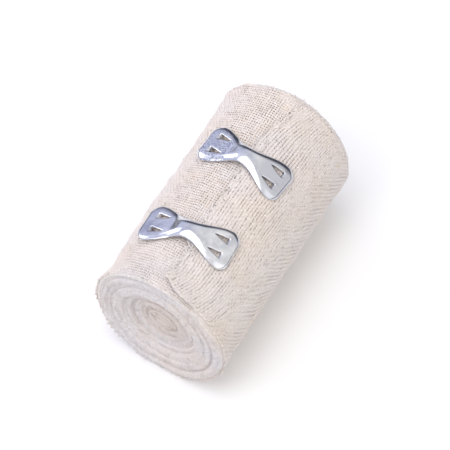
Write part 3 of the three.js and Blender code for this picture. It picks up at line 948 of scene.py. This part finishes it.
studio = {
    "azimuth": 29.0, "elevation": 56.0, "distance": 900.0, "focal": 3155.0,   # focal length in pixels
    "image": 450, "right": 0.4, "up": 1.37,       # the view's middle, from the middle of the roll
    "floor": 3.0, "world": 0.86, "aim": Vector((0, 0, 0.02)),
}
roomMarks = ((0.0, 0.03), (0.08, 0.04), (0.15, 1.05), (0.4, 0.95), (1.0, 1.0))     # height, brightness
lamps = (
    # azimuth and elevation it shines from, distance, width, height, power, colour
    ("key", -25, 70, 0.9, 0.45, 1.0, 3.5, (1.0, 0.985, 0.965)),
    ("left", -88, 28, 0.9, 0.45, 0.45, 1.3, (0.98, 0.985, 1.0)),
    ("fill", 80, 40, 1.0, 0.8, 0.8, 0.7, (1.0, 0.98, 0.97)),
)


def direction(azimuth, elevation):
    a, e = math.radians(azimuth), math.radians(elevation)
    return Vector((math.sin(a) * math.cos(e), -math.cos(a) * math.cos(e), math.sin(e)))


def makeCamera():
    back = direction(studio["azimuth"], studio["elevation"])
    facing = (-back).to_track_quat("-Z", "Y")
    right, up = facing @ Vector((1, 0, 0)), facing @ Vector((0, 1, 0))
    target = Vector(rollAxis) + right * studio["right"] + up * studio["up"]
    data = bpy.data.cameras.new("camera")
    data.sensor_width = 36.0
    data.lens = studio["focal"] / studio["image"] * data.sensor_width
    data.clip_end = 10.0
    camera = bpy.data.objects.new("camera", data)
    camera.rotation_mode = "QUATERNION"
    camera.rotation_quaternion = facing
    camera.location = (target + back * studio["distance"]) * mm
    bpy.context.scene.collection.objects.link(camera)
    bpy.context.scene.camera = camera


def makeLamps():
    for name, azimuth, elevation, distance, width, height, power, color in lamps:
        data = bpy.data.lights.new(name, "AREA")
        data.shape = "RECTANGLE"
        data.size, data.size_y, data.energy, data.color = width, height, power, color
        lamp = bpy.data.objects.new(name, data)
        back = direction(azimuth, elevation)
        lamp.location = studio["aim"] + back * distance
        lamp.rotation_mode = "QUATERNION"
        lamp.rotation_quaternion = (-back).to_track_quat("-Z", "Y")
        bpy.context.scene.collection.objects.link(lamp)


def makeFloor():
    deselectAll()
    bpy.ops.mesh.primitive_plane_add(size=studio["floor"])
    floor = bpy.context.object
    floor.name = "floor"
    material, _, shader = newMaterial("paleFloor")
    shader.inputs["Base Color"].default_value = (0.97, 0.97, 0.97, 1)
    shader.inputs["Roughness"].default_value = 0.9
    floor.data.materials.append(material)


def makeWorld():
    world = bpy.data.worlds.new("studio")
    bpy.context.scene.world = world
    world.use_nodes = True
    tree = world.node_tree
    background = tree.nodes["Background"]
    background.inputs["Strength"].default_value = studio["world"]
    place = tree.nodes.new("ShaderNodeTexCoord")
    split = addNode(tree, "ShaderNodeSeparateXYZ", Vector=place.outputs["Generated"])
    # a dark band low down, for the metal to reflect
    height = addNode(tree, "ShaderNodeValToRGB", Fac=split.outputs["Z"])
    height.color_ramp.interpolation = "EASE"
    while len(height.color_ramp.elements) < len(roomMarks):
        height.color_ramp.elements.new(0.5)
    for stop, (position, value) in zip(height.color_ramp.elements, roomMarks):
        stop.position = position
        stop.color = (value, value, value, 1)
    # cool on the left and warm on the right
    fromLeft = addRange(tree, split.outputs["X"], -0.7, 0.3)
    side = addMix(tree, fromLeft, (0.76, 0.79, 1.0, 1), (1.0, 0.99, 0.98, 1))
    both = addMix(tree, 1.0, side, height.outputs["Color"], "MULTIPLY")
    # the room behind the roll is dark, which draws the clips' far edges
    behind = addRange(tree, split.outputs["Y"], 0.5, 0.85, kind="SMOOTHSTEP")
    low = addRange(tree, split.outputs["Z"], 0.64, 0.34, 0.0, 0.95, "SMOOTHSTEP")
    room = addMix(tree, addMath(tree, "MULTIPLY", behind, low), both, (0.02, 0.025, 0.05, 1))
    # the camera itself sees the room as pale as the floor
    seen = tree.nodes.new("ShaderNodeLightPath")
    pale = addMix(tree, seen.outputs["Is Camera Ray"], room, (1.1, 1.1, 1.1, 1))
    feed(tree, background.inputs["Color"], pale)


makeCamera()
makeLamps()
makeFloor()
makeWorld()
bpy.context.scene.view_settings.view_transform = "Standard"
bpy.context.view_layer.update()
print("stage set")
